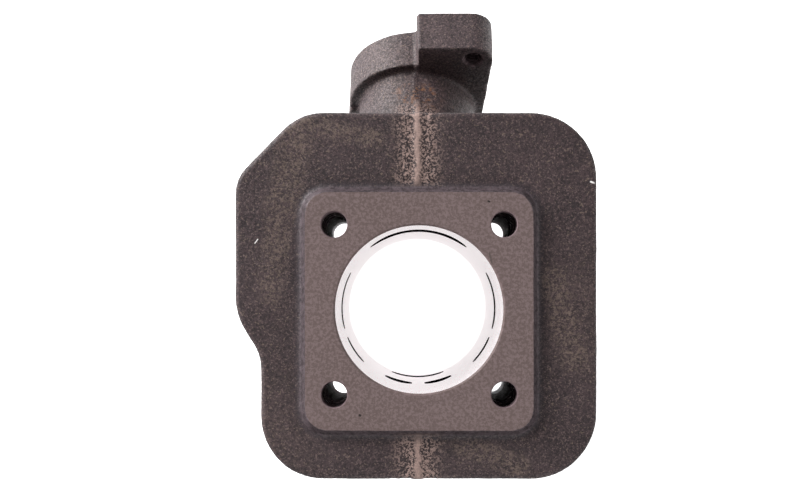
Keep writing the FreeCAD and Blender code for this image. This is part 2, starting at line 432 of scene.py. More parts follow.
def seamCentre(point):
    # the parting line wanders a little about its plane
    spot = Vector((3.1, point.y / seam["wanderLength"], point.z / seam["wanderLength"]))
    return seamX + seam["wander"] * noise.noise(spot)


def raiseSeam(casting):
    # a raised ridge where the mould halves meet, with coarse pits on both sides
    moves = []
    for vertex in casting.data.vertices:
        point = vertex.co
        if abs(point.x - seamX) > 1.3 * seam["pitWidth"] or abs(point.y) < seam["padHalfY"]:
            continue
        front = point.y < 0
        ridgeWidth = seam["ridgeWidth"] * (seam["frontWiden"] if front else 1)
        away = abs(point.x - seamCentre(point))
        ridge = seam["ridgeHeight"] * (1 - smoothStep(0.4 * ridgeWidth, 1.3 * ridgeWidth, away))
        patch = 1 - smoothStep(0.5 * seam["pitWidth"], 1.2 * seam["pitWidth"], away)
        patch *= smoothStep(0.8 * ridgeWidth, 1.6 * ridgeWidth, away)
        pits = noise.noise(point / seam["pitSize"])
        pits = max(pits, -0.1) - 0.35
        onDuct = point.y > cadBox[1][1] - seam["ductLength"]
        if onDuct:
            patch *= seam["ductPits"]
            ridge *= seam["ductRidge"]
        height = ridge + patch * seam["pitDepth"] * pits
        if onDuct and point.x > seamX:
            height -= seam["mismatch"] * (1 - smoothStep(0, seam["mismatchFade"], point.x - seamX))
        moves.append((vertex, point + vertex.normal * height))
    for vertex, point in moves:
        vertex.co = point
    casting.data.update()


def nearAxis(point, x, y, radius, slack=0.06 * mm):
    return abs(math.hypot(point.x - x, point.y - y) - radius) < slack


def outletRun(point):
    return (point - outletCentre).dot(outletAxis)


def outletGap(point, centre):
    away = point - centre
    return (away - outletAxis * away.dot(outletAxis)).length


def pullIn(casting, test, centre, axis, gap, target):
    # draws a ring of vertices in towards its own axis until it is at the target radius
    selectVertices(casting, test)
    leaveEdit()
    for vertex in casting.data.vertices:
        if vertex.select:
            away = vertex.co - centre
            along = axis * away.dot(axis)
            vertex.co = centre + along + (away - along) * (target / max(gap(vertex.co), 1e-6))


earAngle = math.radians(56)
earLine = Vector((1, 0, 0)) * math.cos(earAngle) + outletUp * math.sin(earAngle)
tapPlaces = [outletCentre + sign * boltCircle * earLine for sign in (1, -1)]


def leaveStock(casting):
    # moves every face that gets machined outward, or inward in a hole, by the stock
    values = roughCasting
    stock, slack = values["stock"], values["faceSlack"]
    tuck = values["padTuck"] * stock
    up = Vector((0, 0, 1))
    origin = Vector((0, 0, 0))
    for vertex in casting.data.vertices:
        point = vertex.co
        if abs(point.z - headZ) < slack and max(abs(point.x), abs(point.y)) > values["padSide"]:
            point.x -= math.copysign(tuck, point.x) * smoothStep(24 * mm, 26 * mm, abs(point.x))
            point.y -= math.copysign(tuck, point.y) * smoothStep(24 * mm, 26 * mm, abs(point.y))
    pullIn(casting, lambda co: nearAxis(co, 0, 0, linerRadius), origin, up,
           lambda co: math.hypot(co.x, co.y), linerRadius - stock)
    for x, y in studPlaces:
        pullIn(casting, lambda co: math.hypot(co.x - x, co.y - y) < dowelRadius + 0.1 * mm,
               Vector((x, y, 0)), up, lambda co: math.hypot(co.x - x, co.y - y), studRadius - stock)
    deepest, span = -values["outletDepth"], values["outletSpan"]
    pullIn(casting, lambda co: outletRun(co) > deepest and outletGap(co, outletCentre) < span,
           outletCentre, outletAxis, lambda co: outletGap(co, outletCentre), outletRadius - stock)
    for place in tapPlaces:
        pullIn(casting, lambda co: outletGap(co, place) < values["tapSpan"], place, outletAxis,
               lambda co: outletGap(co, place), values["tapCore"])
    for z, move in ((headZ, stock), (baseZ, -stock)):
        selectVertices(casting, lambda co: abs(co.z - z) < slack)
        bpy.ops.transform.translate(value=(0, 0, move))
        leaveEdit()
    selectVertices(casting, lambda co: abs(outletRun(co)) < slack)
    bpy.ops.transform.translate(value=outletAxis * stock)
    leaveEdit()


def keepInBox(casting):
    margin = roughCasting["boxMargin"]
    low, high = [Vector(corner) for corner in cadBox]
    for vertex in casting.data.vertices:
        for axis in range(3):
            value = min(max(vertex.co[axis], low[axis] + margin), high[axis] - margin)
            if value != vertex.co[axis]:
                vertex.co[axis] = value


def makeCasting():
    casting = copyOf(frame["nodes"]["finned_barrel"], "casting")
    bpy.ops.object.mode_set(mode="EDIT")
    bpy.ops.mesh.select_all(action="SELECT")
    bpy.ops.mesh.remove_doubles(threshold=0.001 * mm)
    bpy.ops.mesh.customdata_custom_splitnormals_clear()
    leaveEdit()
    leaveStock(casting)
    roughen(casting)
    raiseSeam(casting)
    keepInBox(casting)
    print("rough casting", len(casting.data.polygons))
    return casting


casting = makeCasting()


# the gas ways: angle, half angle, bottom, top and corner of each port, and its duct's outer radius
gasWays = {
    "exhaustPort": (90, 38, 22.0, 37.0, 6.0),
    "transferPorts": [(6.25, 21.75, 17.0, 25.0, 2.5), (173.75, 21.75, 17.0, 25.0, 2.5),
                      (-33.25, 11.25, 17.0, 25.0, 2.5), (213.25, 11.25, 17.0, 25.0, 2.5)],
    "transferReach": (35.5, 35.5, 28.7, 28.7),
    "boostPorts": [(-74.6, 10.65, 7.0, 20.0, 4.0), (254.6, 10.65, 7.0, 20.0, 4.0)],
    "boostReach": (33.5, 33.5),
    "skirtWindow": (-90, 22, -28.5, -20.0, 3.0),
    "funnelStart": Vector((0, 17.6, 29.5)) * mm,
    "funnelEnd": 12.6 * mm,
    "funnelRadius": 16.2 * mm,
    "wallSlack": 0.9 * mm,
}


# machining the casting

machining = {
    "dowelSeatDepth": 6.2 * mm,
    "gasketSeatRadius": 15.5 * mm,
    "gasketSeatDepth": 2.0 * mm,
    "boredLength": 10.6 * mm,
    "threadDepth": 0.45 * mm,
    "threadPitch": 1.0 * mm,
    "threadSteps": 8,
    "sinkRadius": 3.3 * mm,
    "sinkDepth": 0.8 * mm,
    "earThickness": 13.5 * mm,
    "studSink": 0.25 * mm,
    "toolReach": 100 * mm,
    "baseMillDepth": 20 * mm,
    "baseMillBack": 42 * mm,  # short of the exhaust flange, which hangs lower
    "faceMillRadius": 60 * mm,
    "tapDepth": 20 * mm,
    "tapLead": 4 * mm,
}


def addTap(name, start, end):
    # a threaded bar: a grid rolled into a tube whose radius follows the thread
    values = machining
    length = (end - start).length
    rings = int(length / values["threadPitch"] * values["threadSteps"])
    bpy.ops.object.select_all(action="DESELECT")
    bpy.ops.mesh.primitive_grid_add(x_subdivisions=48, y_subdivisions=rings, size=1)
    tap = bpy.context.active_object
    for vertex in tap.data.vertices:
        turn = vertex.co.x + 0.5
        along = (vertex.co.y + 0.5) * length
        tooth = (along / values["threadPitch"] - turn) % 1
        radius = tapRadius + values["threadDepth"] * (1 - abs(2 * tooth - 1))
        angle = turn * math.tau
        vertex.co = Vector((radius * math.cos(angle), radius * math.sin(angle), along - length / 2))
    bpy.ops.object.mode_set(mode="EDIT")
    bpy.ops.mesh.select_all(action="SELECT")
    bpy.ops.mesh.remove_doubles(threshold=0.001 * mm)
    bpy.ops.mesh.fill_holes(sides=0)
    bpy.ops.mesh.select_all(action="SELECT")
    bpy.ops.mesh.normals_make_consistent(inside=False)
    leaveEdit()
    pointAlong(tap, start, end)
    return settle(name)


def machine(casting):
    values = machining
    far = values["toolReach"]
    side, millLow = far / 2, baseZ - values["baseMillDepth"]
    tools = [addBlock("headMill", (-far, -far, headZ), (far, far, headZ + far)),
             addBlock("baseMill", (-side, -side, millLow), (side, values["baseMillBack"], baseZ)),
             addRod("boreCut", linerRadius, (0, 0, -far), (0, 0, far), 256)]
    edge = values["studSink"]
    for x, y in studPlaces:
        tools.append(addRod("studDrill", studRadius, (x, y, -far), (x, y, far), 64))
        tools.append(addRod("studSink", studRadius, (x, y, headZ - edge), (x, y, headZ + edge), 64,
                            studRadius + 2 * edge))
    for place in dowelPlaces:
        tools.append(addRod("dowelSeat", dowelRadius, (place.x, place.y, -far),
                            (place.x, place.y, values["dowelSeatDepth"]), 64))
    outward = outletCentre + outletAxis * far
    inner = outletCentre - outletAxis * values["boredLength"]
    seat = outletCentre - outletAxis * values["gasketSeatDepth"]
    tools.append(addRod("faceMill", values["faceMillRadius"], outletCentre, outward, 64))
    tools.append(addRod("outletCut", outletRadius, inner, outward, 128))
    tools.append(addRod("seatCut", values["gasketSeatRadius"], seat, outward, 128))
    sink = values["sinkDepth"]
    wide = 2 * values["sinkRadius"] - tapRadius
    step = outletAxis * sink
    for place in tapPlaces:
        back = place - outletAxis * values["earThickness"]
        tools.append(addTap("tap", place - outletAxis * values["tapDepth"],
                            place + outletAxis * values["tapLead"]))
        tools.append(addRod("frontSink", tapRadius, place - step, place + step, 48, wide))
        tools.append(addRod("backSink", wide, back - step, back + step, 48, tapRadius))
    cutAway(casting, joinTools(tools))


machine(casting)
print("casting machined", len(casting.data.polygons))


# finishes

castIronLook = {
    "dark": (0.0170, 0.0105, 0.0120, 1),
    "light": (0.071, 0.0455, 0.0485, 1),
    "fleck": (0.185, 0.128, 0.122, 1),
    "tan": (0.20, 0.145, 0.115, 1),
    "rust": (0.23, 0.10, 0.045, 1),
    "seamTan": (0.34, 0.235, 0.205, 1),
    # painted shade in a band just outside the head pad, and painted light on the pad's flared side
    "shade": (0.028, 0.021, 0.027, 1),
    "rim": (0.150, 0.114, 0.128, 1),
    "bright": (0.85, 0.82, 0.8, 1),
    "grain": 0.55 * mm,
    "grainBump": 0.12 * mm,
    "cloudSize": 16 * mm,
    "mottleSize": 0.72 * mm,
    "fleckSize": 0.5 * mm,
    "rubSize": 0.8 * mm,
    "driftSize": 22 * mm,
    "seamSpeckle": 0.62 * mm,
    "seamBend": 2.4 * mm,
    "rustSize": 1.6 * mm,
    # size of the noise that breaks up the painted light on the pad's flank
    "wearSize": 1.6 * mm,
    "deckZ": 58.8 * mm,
}

padOutline = {
    "centre": (0, -0.5 * mm, 0),
    "half": (32.3 * mm, 33.7 * mm, 1.0),
    "corner": 6.3 * mm,
    "rimWidth": 1.3 * mm,
    "shadeWidth": 3.6 * mm,
}

# small marks on the top fin and the pad: start, end, width
brightMarks = [
    ((48.3, 35.9), (50.2, 35.3), 0.5),
    ((-45.4, 19.7), (-46.2, 18.6), 0.3),
]
rubMarks = [
    ((-34, 50), (-39, 28), 9.0),
    ((-39, 28), (-42, 5), 7.0),
    ((-32, 52), (-12, 48), 5.0),
    ((38, 8), (44, -14), 8.0),
    ((12, -38), (28, -44), 6.0),
]


def onDeck(spot, z):
    return (spot[0] * mm, spot[1] * mm, z)


def anyMark(tree, where, marks, z):
    total = None
    for start, end, width in marks:
        mask = useGroup(tree, scratchMark, {"Where": where, "Start": onDeck(start, z),
                                            "End": onDeck(end, z), "Width": width * mm})["Mask"]
        total = mask if total is None else maths(tree, "MAXIMUM", total, mask)
    return total


def buildCastIron():
    look = castIronLook
    material, tree, shader, where = startMaterial("castIron")
    place = addNode(tree, "SeparateXYZ", {0: where}).outputs
    facing = addNode(tree, "SeparateXYZ",
                     {0: addNode(tree, "NewGeometry").outputs["Normal"]}).outputs["Z"]
    topFace = fade(tree, facing, 0.55, 0.93)

    grain = useGroup(tree, sandGrain, {"Where": where, "Grain size": look["grain"], "Specks": 0.45})
    clouds = noiseOf(tree, where, look["cloudSize"], 3.0, 0.6)
    wash = times(tree, fade(tree, clouds, 0.35, 0.68), 0.75)
    colour = mixed(tree, wash, look["dark"], look["light"])
    mottle = fade(tree, noiseOf(tree, where, look["mottleSize"], 2.0, 0.8), 0.42, 0.6)
    pitted = mixed(tree, mottle, look["dark"], look["light"])
    colour = mixed(tree, 0.68, colour, pitted)
    fine = fade(tree, noiseOf(tree, where, look["fleckSize"], 1.0, 0.8), 0.57, 0.66)
    colour = mixed(tree, times(tree, fine, 0.6), colour, look["fleck"])
    # painted shade: faces that point straight up are made a little darker, standing in for the
    # weaker light on the flat tops
    level = fade(tree, facing, 0.9, 0.98)
    colour = mixed(tree, times(tree, level, 0.18), colour, look["dark"])

    # tan bands where the casting was handled and rubbed
    rub = anyMark(tree, where, rubMarks, look["deckZ"])
    rub = times(tree, rub, topFace)
    patchy = fade(tree, noiseOf(tree, where, look["rubSize"], 3.0, 0.75), 0.45, 0.6)
    slow = fade(tree, noiseOf(tree, where, look["driftSize"], 2.0, 0.5, (1, 0.5, 1)), 0.5, 0.72)
    tanAmount = maths(tree, "MAXIMUM", rub, times(tree, slow, 0.3))
    colour = mixed(tree, times(tree, times(tree, tanAmount, patchy), 0.45),
                   colour, look["tan"])
    colour = mixed(tree, times(tree, grain["Speck mask"], 0.5), colour, look["tan"])

    # the parting seam: a tan ridge, speckled on both sides
    bend = times(tree, maths(tree, "SUBTRACT", noiseOf(tree, where, 3 * mm), 0.5), look["seamBend"])
    away = maths(tree, "ABSOLUTE", plus(tree, maths(tree, "SUBTRACT", place["X"], seamX), bend))
    outer = fade(tree, maths(tree, "ABSOLUTE", place["Y"]), 34.3 * mm, 35.3 * mm)
    offDuct = flipped(tree, fade(tree, place["Y"], 58 * mm, 64 * mm))
    ridge = times(tree, flipped(tree, fade(tree, away, 0.3 * mm, 1.25 * mm)), outer)
    broad = times(tree, flipped(tree, fade(tree, away, 2.5 * mm, 9 * mm)), outer)
    speckle = fade(tree, noiseOf(tree, where, look["seamSpeckle"], 2.0, 0.8), 0.48, 0.56)
    bandColour = mixed(tree, speckle, look["dark"], look["seamTan"])
    broadAmount = times(tree, times(tree, broad, offDuct), 0.8)
    colour = mixed(tree, broadAmount, colour, bandColour)
    colour = mixed(tree, times(tree, times(tree, ridge, offDuct), 0.75), colour,
                   look["seamTan"])
    rustSpot = fade(tree, noiseOf(tree, where, look["rustSize"], 3.0, 0.7), 0.5, 0.62)
    ductRust = times(tree, times(tree, broad, rustSpot), flipped(tree, offDuct))
    nearBarrel = flipped(tree, fade(tree, place["Y"], 66 * mm, 69 * mm))
    ductRust = times(tree, ductRust, nearBarrel)
    colour = mixed(tree, times(tree, ductRust, 0.6), colour, look["rust"])

    # painted shade: a dark band just outside the head pad; painted light on the pad's paler flared
    # cast side
    gap = useGroup(tree, padDistance, {"Where": where, "Centre": padOutline["centre"],
                                       "Half size": padOutline["half"],
                                       "Corner": padOutline["corner"]})["Distance"]
    onTop = fade(tree, place["Z"], 56.5 * mm, 58 * mm)
    rimWidth = padOutline["rimWidth"]
    byPad = flipped(tree, fade(tree, gap, rimWidth, padOutline["shadeWidth"]))
    padFootShade = times(tree, byPad, onTop)
    colour = mixed(tree, times(tree, padFootShade, 0.55), colour, look["shade"])
    # painted light on the pad's flared side, broken up by noise
    side = times(tree, flipped(tree, fade(tree, gap, 0.5 * rimWidth, 1.3 * rimWidth)), onTop)
    flankLightMottle = fade(tree, noiseOf(tree, where, look["wearSize"], 4.0, 0.75), 0.36, 0.62)
    padFlankLightColour = mixed(tree, times(tree, broad, 0.8), look["rim"], look["seamTan"])
    colour = mixed(tree, times(tree, side, times(tree, flankLightMottle, 0.8)), colour, padFlankLightColour)

    # painted shade: edges and upright faces are made darker than the tops
    paintedSideShade = flipped(tree, topFace)
    colour = mixed(tree, times(tree, times(tree, paintedSideShade, offDuct), 0.45), colour, look["dark"])

    bright = times(tree, anyMark(tree, where, brightMarks, look["deckZ"]), topFace)
    colour = mixed(tree, bright, colour, look["bright"])

    rough = maths(tree, "SUBTRACT", 0.68, times(tree, mottle, 0.2))
    height = plus(tree, grain["Height"], times(tree, mottle, 0.25))
    finishMaterial(tree, shader, colour, rough, height, look["grainBump"], **{
        "Specular IOR Level": 0.38})
    return material


milledLook = {
    "base": (0.130, 0.093, 0.0925, 1),
    "light": (0.185, 0.134, 0.133, 1),
    "stain": (0.098, 0.068, 0.062, 1),
    # colour of the painted highlight along the head pad's edge
    "edge": (0.62, 0.56, 0.54, 1),
    "pit": (0.02, 0.015, 0.013, 1),
    "scratch": (0.07, 0.055, 0.05, 1),
    "stretch": (1.0, 0.03, 1.0),
    "spacing": 0.35 * mm,
}
padPits = [((-16.6, -29.5), (-16.5, -29.6), 0.65), ((19.3, 30.2), (19.6, 30.1), 0.5),
           ((34.4, 13.4), (34.0, 13.2), 0.9), ((-24.0, 33.2), (-23.7, 33.2), 0.6)]
padScratches = [((19.6, 15.8), (20.3, 12.6), 0.35), ((20.2, 13.6), (19.9, 10.9), 0.3)]


def buildMilled():
    look = milledLook
    material, tree, shader, where = startMaterial("milledIron")
    place = addNode(tree, "SeparateXYZ", {0: where}).outputs
    lines = useGroup(tree, toolMarks, {"Where": where, "Stretch": look["stretch"],
                                       "Spacing": look["spacing"]})["Lines"]
    even = plus(tree, 0.3, times(tree, fade(tree, lines, 0.3, 0.7), 0.4))
    colour = mixed(tree, even, look["base"], look["light"])
    cloud = fade(tree, noiseOf(tree, where, 30 * mm, 3.0, 0.6), 0.4, 0.7)
    colour = mixed(tree, times(tree, cloud, 0.35), colour, look["stain"])
    fleck = fade(tree, noiseOf(tree, where, 0.9 * mm, 3.0, 0.75), 0.42, 0.6)
    colour = mixed(tree, times(tree, fleck, 0.6), colour, look["light"])
    colour = mixed(tree, times(tree, flipped(tree, fleck), 0.6), colour,
                   look["stain"])
    gap = useGroup(tree, padDistance, {"Where": where, "Centre": padOutline["centre"],
                                       "Half size": padOutline["half"],
                                       "Corner": padOutline["corner"]})["Distance"]
    # painted highlight: a pale band just inside the head pad's edge, stronger towards the +X +Y
    # corner
    rim = times(tree, fade(tree, gap, -0.35 * mm, -0.05 * mm),
                fade(tree, noiseOf(tree, where, 4 * mm, 3.0, 0.7), 0.42, 0.6))
    corner = fade(tree, plus(tree, place["X"], place["Y"]), 30 * mm, 50 * mm)
    rim = times(tree, rim, plus(tree, times(tree, corner, 0.7), 0.25))
    rim = times(tree, rim, fade(tree, place["Z"], headZ - 1 * mm, headZ - 0.5 * mm))
    colour = mixed(tree, rim, colour, look["edge"])
    pits = anyMark(tree, where, padPits, headZ)
    colour = mixed(tree, pits, colour, look["pit"])
    scratches = anyMark(tree, where, padScratches, headZ)
    colour = mixed(tree, times(tree, scratches, 0.75), colour, look["scratch"])
    rough = plus(tree, 0.56, times(tree, lines, 0.12))
    height = maths(tree, "SUBTRACT", lines, times(tree, pits, 3.0))
    finishMaterial(tree, shader, colour, rough, height, 0.008 * mm, **{"Specular IOR Level": 0.3})
    return material


# painted shade: near-black for the insides of the ducts, where light does not reach
ductShadeLook = {
    "soot": (0.0022, 0.0018, 0.0018, 1),
    "iron": (0.012, 0.009, 0.009, 1),
    "grain": 0.6 * mm,
}


def buildDuctShade():
    # painted shade: the unlit inside of the ducts made near-black, over rough iron grain
    look = ductShadeLook
    material, tree, shader, where = startMaterial("sootIron")
    grain = useGroup(tree, sandGrain, {"Where": where, "Grain size": look["grain"], "Specks": 0.4})
    patch = fade(tree, noiseOf(tree, where, 4 * mm, 3.0, 0.6), 0.45, 0.75)
    colour = mixed(tree, times(tree, patch, 0.6), look["soot"], look["iron"])
    rough = maths(tree, "SUBTRACT", 0.95, times(tree, patch, 0.15))
    finishMaterial(tree, shader, colour, rough, grain["Height"], 0.12 * mm, **{
        "Specular IOR Level": 0.05})
    return material


drilledLook = {
    "dark": (0.06, 0.043, 0.045, 1),
    "light": (0.21, 0.148, 0.158, 1),
    "ringHeight": 0.45 * mm,
}


def buildDrilled():
    # feed rings left by a drill or boring bar
    look = drilledLook
    material, tree, shader, where = startMaterial("drilledIron")
    rings = useGroup(tree, toolMarks, {"Where": where, "Stretch": (0.01, 0.01, 1.0),
                                       "Spacing": look["ringHeight"]})["Lines"]
    spots = fade(tree, noiseOf(tree, where, 0.8 * mm, 3.0, 0.6), 0.35, 0.65)
    colour = mixed(tree, fade(tree, rings, 0.3, 0.7), look["dark"], look["light"])
    colour = mixed(tree, times(tree, spots, 0.35), colour, look["dark"])
    rough = plus(tree, 0.72, times(tree, spots, 0.18))
    finishMaterial(tree, shader, colour, rough, rings, 0.03 * mm, **{"Specular IOR Level": 0.2})
    return material


honedLook = {
    "base": (0.90, 0.84, 0.85, 1),
    "line": (0.76, 0.70, 0.71, 1),
    "hatchAngle": 32.0,
    "hatchSpacing": 0.16 * mm,
}


def buildHoned():
    # honed bore: two crossing sets of fine spiral lines, in angle and height
    look = honedLook
    material, tree, shader, where = startMaterial("honedIron")
    place = addNode(tree, "SeparateXYZ", {0: where}).outputs
    turn = maths(tree, "ARCTAN2", place["Y"], place["X"])
    around = times(tree, turn, boreRadius)
    slope = math.tan(math.radians(look["hatchAngle"]))
    heights = []
    for sign in (1, -1):
        across = plus(tree, place["Z"], times(tree, around, sign * slope))
        spot = addNode(tree, "CombineXYZ", {"X": across, "Y": times(tree, around, 0.02)})
        lines = noiseOf(tree, spot.outputs[0], look["hatchSpacing"], 2.0, 0.6)
        heights.append(fade(tree, lines, 0.35, 0.65))
    hatch = times(tree, plus(tree, heights[0], heights[1]), 0.5)
    colour = mixed(tree, hatch, look["line"], look["base"])
    rough = plus(tree, 0.2, times(tree, hatch, 0.14))
    finishMaterial(tree, shader, colour, rough, hatch, 0.006 * mm, Metallic=0.85)
    return material


turnedLook = {
    "dark": (0.22, 0.2, 0.2, 1),
    "light": (0.46, 0.43, 0.43, 1),
    "feed": 0.3 * mm,
}


def buildTurned():
    # lathe-turned outside of the liner's skirt, with a little oil staining
    look = turnedLook
    material, tree, shader, where = startMaterial("turnedIron")
    rings = useGroup(tree, toolMarks, {"Where": where, "Stretch": (0.003, 0.003, 1.0),
                                       "Spacing": look["feed"]})["Lines"]
    stain = fade(tree, noiseOf(tree, where, 12 * mm, 4.0, 0.6), 0.45, 0.7)
    colour = mixed(tree, fade(tree, rings, 0.3, 0.7), look["dark"], look["light"])
    colour = mixed(tree, times(tree, stain, 0.5), colour, look["dark"])
    rough = plus(tree, 0.3, times(tree, stain, 0.2))
    finishMaterial(tree, shader, colour, rough, rings, 0.02 * mm, Metallic=0.8)
    return material


groundLook = {
    "base": (0.50, 0.50, 0.515, 1),
    "oxide": (0.20, 0.17, 0.15, 1),
    "grind": 0.12 * mm,
}


def buildGround():
    # centreless-ground dowel steel, with thin oxide blooms
    look = groundLook
    material, tree, shader, where = startMaterial("groundSteel")
    rings = useGroup(tree, toolMarks, {"Where": where, "Stretch": (0.05, 0.05, 1.0),
                                       "Spacing": look["grind"]})["Lines"]
    bloom = fade(tree, noiseOf(tree, where, 3 * mm, 4.0, 0.65), 0.52, 0.72)
    colour = mixed(tree, times(tree, bloom, 0.6), look["base"], look["oxide"])
    rough = plus(tree, times(tree, rings, 0.15),
                  maths(tree, "MULTIPLY_ADD", bloom, 0.25))
    rough.node.inputs[1].default_value = 0.2
    rough = plus(tree, rough, 0.18)
    finishMaterial(tree, shader, colour, rough, rings, 0.008 * mm, Metallic=1.0)
    return material


castIron = buildCastIron()
milledIron = buildMilled()
drilledIron = buildDrilled()
sootIron = buildDuctShade()
honedIron = buildHoned()
turnedIron = buildTurned()
groundSteel = buildGround()
print("finishes made")


def inGasWay(centre, normal):
    # inside a duct beside the bore, or on the inner wall of the exhaust funnel
    radius = math.hypot(centre.x, centre.y)
    angle = math.degrees(math.atan2(centre.y, centre.x))
    ports = gasWays["transferPorts"] + gasWays["boostPorts"]
    reaches = gasWays["transferReach"] + gasWays["boostReach"]
    slack = gasWays["wallSlack"]
    for port, reach in zip(ports, reaches):
        turn = abs((angle - port[0] + 180) % 360 - 180)
        if turn < port[1] + 1 and radius < reach * mm + slack and centre.z < port[3] * mm + slack:
            return centre.z > 0.3 * mm
    start = gasWays["funnelStart"]
    end = outletCentre - outletAxis * gasWays["funnelEnd"]
    line = (end - start).normalized()
    away = centre - start
    away -= line * away.dot(line)
    inner = radius > linerRadius - 0.1 * mm and centre.y > 15 * mm
    rough = outletRun(centre) < 0.2 * mm - machining["boredLength"]
    return inner and rough and away.length < gasWays["funnelRadius"] and away.dot(normal) < 0


def finishOf(face, slack=0.03 * mm):
    # which finish a face of the casting has: 0 cast, 1 milled, 2 drilled, 3 painted duct shade
    centre, normal = face.center, face.normal
    if normal.z > 0.99 and abs(centre.z - headZ) < slack:
        return 1
    if normal.z < -0.99 and abs(centre.z - baseZ) < slack:
        return 1
    if normal.dot(outletAxis) > 0.99 and abs(outletRun(centre)) < slack:
        return 1
    for x, y in studPlaces:
        gap = math.hypot(centre.x - x, centre.y - y)
        sunk = gap < studRadius + 0.6 * mm and centre.z > headZ - 0.4 * mm
        if sunk or abs(gap - studRadius) < slack:
            return 2
    seatRadius = machining["gasketSeatRadius"] + 0.1 * mm
    bored = outletRun(centre) > -machining["boredLength"] - slack
    if bored and outletGap(centre, outletCentre) < seatRadius:
        return 2
    for place in tapPlaces:
        if outletGap(centre, place) < machining["sinkRadius"] + 0.1 * mm:
            return 2
    for place in dowelPlaces:
        gap = math.hypot(centre.x - place.x, centre.y - place.y)
        if gap < dowelRadius + slack and centre.z < machining["dowelSeatDepth"] + 0.1 * mm:
            return 2
    if abs(math.hypot(centre.x, centre.y) - linerRadius) < slack:
        return 2
    if inGasWay(centre, normal):
        return 3
    return 0


def paintCasting(casting):
    casting.data.materials.clear()
    for material in (castIron, milledIron, drilledIron, sootIron):
        casting.data.materials.append(material)
    for face in casting.data.polygons:
        face.material_index = finishOf(face)


paintCasting(casting)
pickOnly(casting)
bpy.ops.object.shade_smooth_by_angle(angle=math.radians(40))
print("casting painted")

# one iron casting, kept as stacked meshes so that none grows too heavy
castingCuts = {
    "castDeck": (53.15, None),
    "castFinsUpper": (39.25, 53.15),
    "castFinsMiddle": (24.65, 39.25),
    "castFinsLower": (10.7, 24.65),
    "castBase": (None, 10.7),
    "exhaustFrom": 56.0,
}


def keepPart(casting, name, low, high):
    part = copyOf(casting, name)
    part.data = part.data.copy()
    block = addBlock("keep", low, high)
    applied(part, "BOOLEAN", operation="INTERSECT", solver="MANIFOLD", object=block)
    bpy.data.objects.remove(block)
    print(name, len(part.data.polygons))
    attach(part, "root")
    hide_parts("finned_barrel")
    return part


def divideCasting(casting):
    far = 0.2
    cutY = castingCuts["exhaustFrom"] * mm
    for name in ("castDeck", "castFinsUpper", "castFinsMiddle", "castFinsLower", "castBase"):
        low, high = castingCuts[name]
        lowZ = -far if low is None else low * mm
        highZ = far if high is None else high * mm
        keepPart(casting, name, (-far, -far, lowZ), (far, cutY, highZ))
    keepPart(casting, "castExhaust", (-far, cutY, -far), (far, far, far))
    bpy.data.objects.remove(casting)


divideCasting(casting)
print("casting divided")


# the bore liner

liner = {
    "segments": 256,
    "mouthChamfer": 0.5 * mm,
    "leadChamfer": 1.0 * mm,
    "overlap": 10 * mm,       # how far parts and cutters run past each other
}


def addPortCutter(port):
    # a block with four rounded edges, pushed out through the wall from inside the bore
    angle, halfAngle, bottom, top, corner = port
    halfWidth = boreRadius * math.sin(math.radians(halfAngle))
    reach = (0.6 * boreRadius, linerRadius + 2 * mm)
    cutter = addBlock("portCutter", (reach[0], -halfWidth, bottom * mm),
                      (reach[1], halfWidth, top * mm))
    bpy.ops.object.mode_set(mode="EDIT")
    bpy.ops.mesh.select_mode(type="EDGE")
    bpy.ops.mesh.select_all(action="DESELECT")
    bpy.ops.object.mode_set(mode="OBJECT")
    for edge in cutter.data.edges:
        first, second = [cutter.data.vertices[i].co for i in edge.vertices]
        edge.select = abs(first.x - second.x) > 1 * mm
    bpy.ops.object.mode_set(mode="EDIT")
    bpy.ops.mesh.bevel(offset=corner * mm, segments=10, affect="EDGES")
    bpy.ops.mesh.select_all(action="SELECT")
    leaveEdit()
    cutter.rotation_euler = (0, 0, math.radians(angle))
    bpy.ops.object.transform_apply(location=True, rotation=True, scale=True)
    return cutter


def makeLiner():
    values = liner
    steps, past = values["segments"], values["overlap"]
    sleeve = addRod("boreLiner", linerRadius, (0, 0, baseZ), (0, 0, headZ), steps)
    lead = values["leadChamfer"]
    skirt = addRod("skirt", skirtRadius, (0, 0, linerLow.z + lead), (0, 0, headZ - past), steps)
    tip = addRod("skirtTip", skirtRadius - lead, (0, 0, linerLow.z), (0, 0, linerLow.z + lead),
                 steps, skirtRadius)
    for extra in (tip, skirt):
        applied(sleeve, "BOOLEAN", operation="UNION", solver="MANIFOLD", object=extra)
        bpy.data.objects.remove(extra)
    cutAway(sleeve, addRod("bore", boreRadius, (0, 0, linerLow.z - past), (0, 0, headZ + past),
                           steps))
    mouth = values["mouthChamfer"]
    cutAway(sleeve, addRod("boreMouth", boreRadius - mouth, (0, 0, headZ - 2 * mouth),
                           (0, 0, headZ + mouth), steps, boreRadius + 2 * mouth))
    ports = [gasWays["exhaustPort"], gasWays["skirtWindow"]]
    ports += gasWays["transferPorts"] + gasWays["boostPorts"]
    for port in ports:
        cutAway(sleeve, addPortCutter(port))
    sleeve.data.materials.clear()
    for material in (honedIron, milledIron, turnedIron, sootIron):
        sleeve.data.materials.append(material)
    for face in sleeve.data.polygons:
        radius = math.hypot(face.center.x, face.center.y)
        if face.normal.z > 0.3 and face.center.z > headZ - 1.2 * mouth:
            face.material_index = 1
        elif radius > skirtRadius - 0.02 * mm or face.center.z < linerLow.z + 1.1 * lead:
            face.material_index = 2 if radius > boreRadius + 0.1 * mm else 0
        # the liner's outside round the ports gets the painted duct shade
        elif radius > boreRadius + 0.1 * mm and face.center.z < headZ - 2 * mm:
            face.material_index = 3
    pickOnly(sleeve)
    bpy.ops.object.shade_smooth_by_angle(angle=math.radians(30))
    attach(sleeve, "root")
    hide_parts("bore_liner")
    print("liner", len(sleeve.data.polygons))


makeLiner()


# the two base dowels

dowel = {
    "segments": 96,
    "edge": 0.5 * mm,
    "bevelSteps": 3,
    "overlap": 10 * mm,
}


